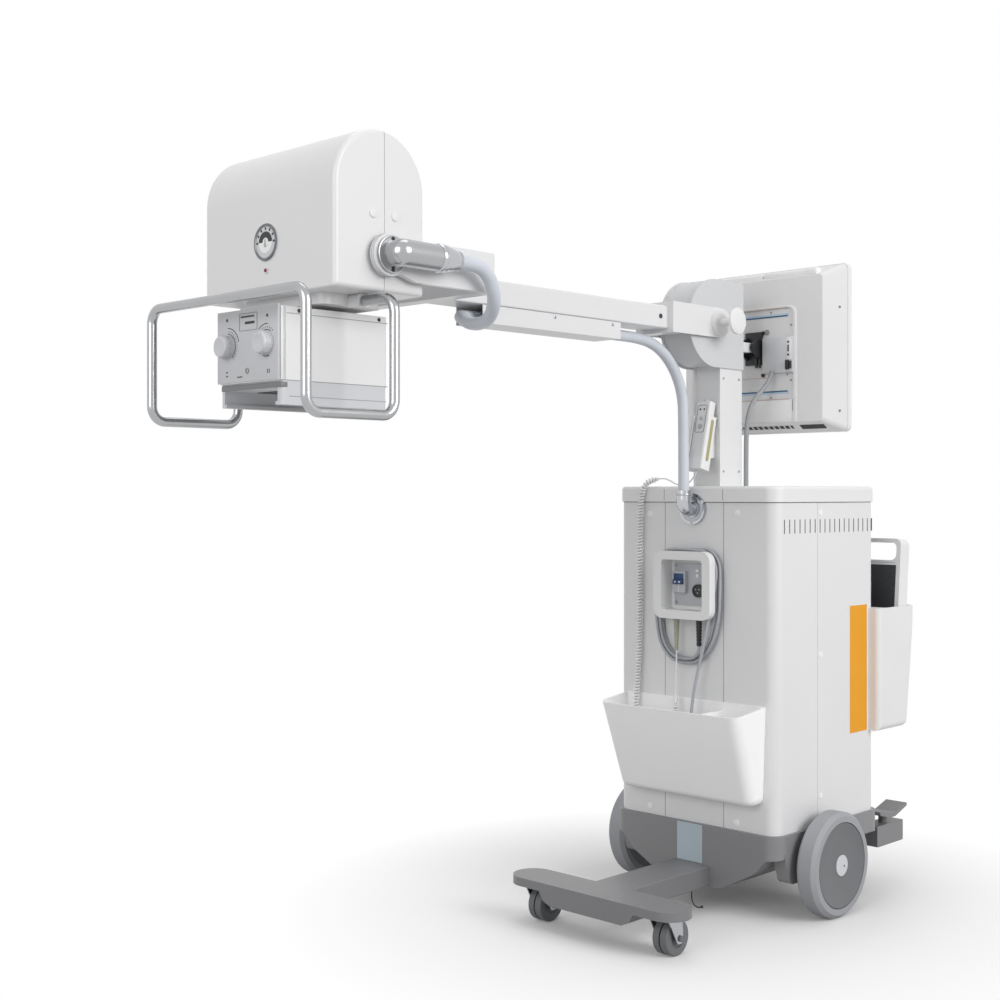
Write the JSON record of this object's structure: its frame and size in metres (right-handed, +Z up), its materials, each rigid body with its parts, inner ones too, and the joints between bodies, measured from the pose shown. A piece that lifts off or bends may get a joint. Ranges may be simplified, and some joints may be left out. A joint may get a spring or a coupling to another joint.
{
  "type": "mobile x-ray machine",
  "caption": "Upright mobile x-ray machine: wheeled cabinet with a column, tilting arm, yoke-held x-ray tube head with collimator, rear screen, bins and cords.",
  "frame": {"origin": "on the floor, under the middle of the machine's outline", "axes": "+Z up, +Y from the x-ray head towards the screen, +X to the right of someone who stands in front and faces the machine"},
  "size_m": [0.6232, 1.9802, 1.651],
  "materials": {
    "white_paint": "satin",
    "white_cast": "satin",
    "white_plastic": "satin",
    "chassis_grey": "satin",
    "outrigger_grey": "satin",
    "wheel_grey": "satin",
    "tyre_grey": "matte",
    "polished_metal": "polished",
    "polished_aluminium": "polished",
    "steel": "satin",
    "dark_drum": "satin",
    "black_plastic": "matte",
    "grey_plastic": "satin",
    "hose_grey": "satin",
    "cord_grey": "satin",
    "cord_white": "satin",
    "screen_glass": "gloss",
    "carbon_panel": "satin",
    "block_mass": "matte"
  },
  "bodies": {
    "base": {"chassis_pan": "chassis_grey", "outrigger": "outrigger_grey", "rear_axle": "steel", "cabinet_front": "white_paint", "cabinet_rear": "white_paint", "lid": "white_plastic", "power_unit": "block_mass", "column": "white_paint", "pivot_drum": "dark_drum", "front_bin": "white_plastic", "rear_bin": "white_plastic", "detector": "carbon_panel", "socket_box": "white_plastic", "breaker_panel": "grey_plastic", "hose_gland": "polished_metal", "switch_cradle": "white_plastic", "hand_switch": "white_plastic", "monitor_bracket": "white_paint", "brake_bracket": "outrigger_grey", "brake_pedal": "outrigger_grey", "push_handle": "polished_aluminium", "earth_wire": "black_plastic", "mains_relief": "black_plastic", "mains_coil": "cord_grey", "mains_tail": "cord_grey", "mains_plug": "black_plastic", "switch_plug": "grey_plastic", "plug_lead": "cord_white", "curl_boot": "cord_white", "curly_cord": "cord_white", "switch_lead": "cord_white", "monitor_cable": "cord_grey", "hose_drop": "hose_grey"},
    "left_wheel": {"left_tyre": "tyre_grey", "left_hub": "wheel_grey"},
    "right_wheel": {"right_tyre": "tyre_grey", "right_hub": "wheel_grey"},
    "left_caster": {"left_caster_fork": "polished_metal"},
    "left_caster_roller": {"left_caster_wheels": "wheel_grey"},
    "right_caster": {"right_caster_fork": "polished_metal"},
    "right_caster_roller": {"right_caster_wheels": "wheel_grey"},
    "arm": {"beam": "white_paint", "arm_fork": "white_cast", "hose_tray": "white_paint", "lock_knob": "white_plastic", "hose_in_tray": "hose_grey", "hose_loop": "hose_grey"},
    "head_yoke": {"yoke": "white_cast", "hose_elbow": "polished_aluminium"},
    "tube_head": {"housing_front": "white_cast", "housing_rear": "white_cast", "port_plate": "white_cast", "handle": "polished_aluminium"},
    "collimator": {"collimator_body": "white_plastic", "collimator_rails": "grey_plastic", "collimator_knobs": "black_plastic"},
    "monitor": {"monitor_bezel": "white_plastic", "monitor_back": "white_plastic", "screen": "screen_glass", "monitor_hinge": "black_plastic"}
  },
  "joints": [
    {"name": "left_wheel_spin", "type": "hinge", "parent": "base", "child": "left_wheel", "pos_m": [-0.2858, 0.55793, 0.125], "axis": [1, 0, 0], "continuous": true},
    {"name": "right_wheel_spin", "type": "hinge", "parent": "base", "child": "right_wheel", "pos_m": [0.2858, 0.55793, 0.125], "axis": [1, 0, 0], "continuous": true},
    {"name": "left_caster_swivel", "type": "hinge", "parent": "base", "child": "left_caster", "pos_m": [-0.185, 0.03513, 0.091], "axis": [0, 0, 1], "continuous": true},
    {"name": "left_caster_spin", "type": "hinge", "parent": "left_caster", "child": "left_caster_roller", "pos_m": [-0.185, 0.05912, 0.04], "axis": [1, 0, 0], "continuous": true},
    {"name": "right_caster_swivel", "type": "hinge", "parent": "base", "child": "right_caster", "pos_m": [0.185, 0.03513, 0.091], "axis": [0, 0, 1], "continuous": true},
    {"name": "right_caster_spin", "type": "hinge", "parent": "right_caster", "child": "right_caster_roller", "pos_m": [0.185, 0.05912, 0.04], "axis": [1, 0, 0], "continuous": true},
    {"name": "arm_tilt", "type": "hinge", "parent": "base", "child": "arm", "pos_m": [0, 0.42013, 1.4215], "axis": [1, 0, 0], "range_deg": [-25, 40], "deforming": ["hose_drop"]},
    {"name": "head_roll", "type": "hinge", "parent": "arm", "child": "head_yoke", "pos_m": [0, -0.49788, 1.4205], "axis": [0, 1, 0], "range_deg": [-90, 90], "deforming": ["hose_loop"]},
    {"name": "head_tilt", "type": "hinge", "parent": "head_yoke", "child": "tube_head", "pos_m": [0, -0.77538, 1.428], "axis": [1, 0, 0], "range_deg": [-90, 40]},
    {"name": "collimator_turn", "type": "hinge", "parent": "tube_head", "child": "collimator", "pos_m": [0, -0.80288, 1.336], "axis": [0, 0, 1], "range_deg": [-90, 90]},
    {"name": "monitor_tilt", "type": "hinge", "parent": "base", "child": "monitor", "pos_m": [0, 0.61813, 1.378], "axis": [1, 0, 0], "range_deg": [-15, 15], "deforming": ["monitor_cable"]}
  ]
}
